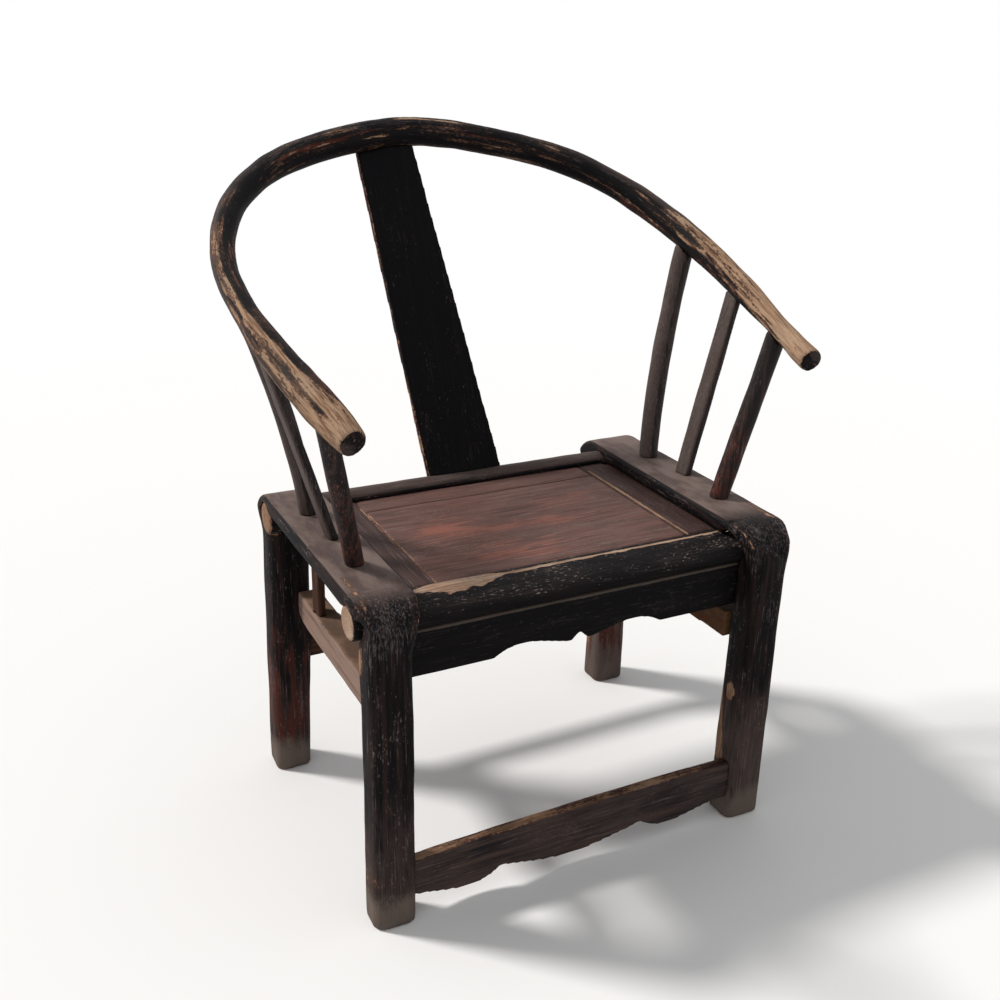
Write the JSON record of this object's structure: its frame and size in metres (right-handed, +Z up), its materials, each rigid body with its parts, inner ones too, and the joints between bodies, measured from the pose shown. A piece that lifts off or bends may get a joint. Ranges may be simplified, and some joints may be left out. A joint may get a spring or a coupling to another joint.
{
  "type": "horseshoe back armchair",
  "caption": "Low armchair of bent dark wood: a sloping horseshoe crest rail on slanted spindles, a plank splat, a board seat and two bent leg frames.",
  "frame": {"origin": "on the floor, in the middle of the chair's outline seen from above", "axes": "+X to the right seen from the front, -Y towards the front, +Z up"},
  "size_m": [0.668, 0.583, 0.8353],
  "materials": {
    "black_lacquer_wood": "satin lacquer, worn",
    "worn_brown_wood": "worn lacquer over brown wood",
    "seat_wood": "worn matt board",
    "aged_board_wood": "bare, aged and dusty"
  },
  "bodies": {
    "root": {"crest_rail": "black_lacquer_wood", "back_splat": "black_lacquer_wood", "rear_spindle_left": "black_lacquer_wood", "rear_spindle_right": "black_lacquer_wood", "middle_spindle_left": "black_lacquer_wood", "middle_spindle_right": "black_lacquer_wood", "front_spindle_left": "black_lacquer_wood", "front_spindle_right": "black_lacquer_wood", "leg_frame_left": "worn_brown_wood", "leg_frame_right": "worn_brown_wood", "front_seat_rail": "black_lacquer_wood", "rear_seat_rail": "black_lacquer_wood", "seat_board_front": "seat_wood", "seat_board_rear": "seat_wood", "seat_end_left": "seat_wood", "seat_end_right": "seat_wood", "seat_key_left": "aged_board_wood", "seat_key_right": "aged_board_wood", "front_apron": "black_lacquer_wood", "rear_apron": "worn_brown_wood", "side_board_left": "aged_board_wood", "side_board_right": "aged_board_wood", "side_strut_left": "worn_brown_wood", "side_strut_right": "worn_brown_wood", "front_stretcher": "worn_brown_wood"}
  },
  "joints": []
}
